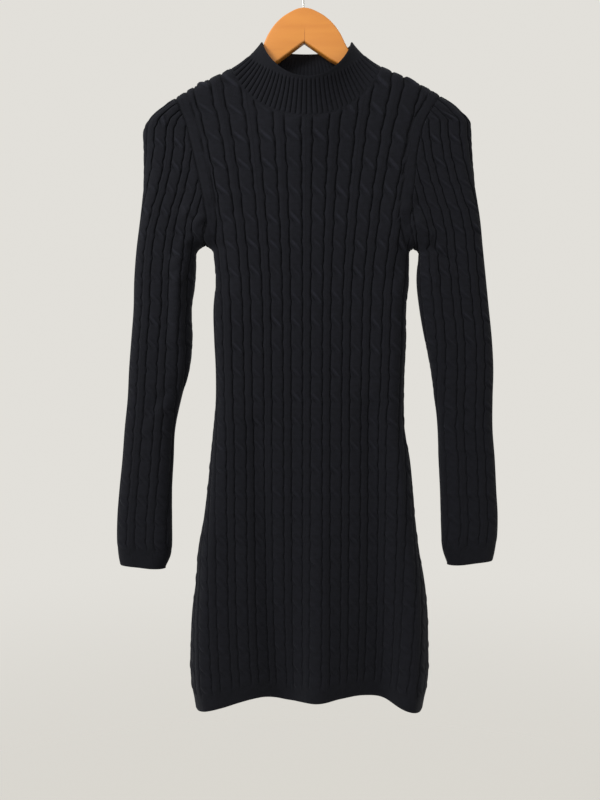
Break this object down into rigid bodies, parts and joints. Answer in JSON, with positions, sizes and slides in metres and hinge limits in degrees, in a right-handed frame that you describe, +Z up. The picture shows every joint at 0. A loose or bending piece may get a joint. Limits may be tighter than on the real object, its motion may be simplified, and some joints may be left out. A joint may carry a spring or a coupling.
{
  "type": "cable knit sweater dress on wooden hanger",
  "caption": "Long-sleeved cable knit sweater dress with a ribbed mock neck, hanging empty from a flat wooden coat hanger with a steel hook.",
  "frame": {"origin": "inside top of the hanger's hook, where it bears on its rail", "axes": "+Z up, -Y towards the viewer of the dress's front, +X to that viewer's right, which is the wearer's left"},
  "size_m": [0.5101, 0.0908, 0.9916],
  "materials": {
    "knit": "matte charcoal cable knit with a soft sheen",
    "hanger_wood": "clear varnished warm wood",
    "hook_metal": "bright bent wire"
  },
  "bodies": {
    "root": {"body_front": "knit", "body_back": "knit", "sleeve_right": "knit", "sleeve_left": "knit", "collar": "knit", "hanger_wood": "hanger_wood", "hanger_hook": "hook_metal"}
  },
  "joints": []
}
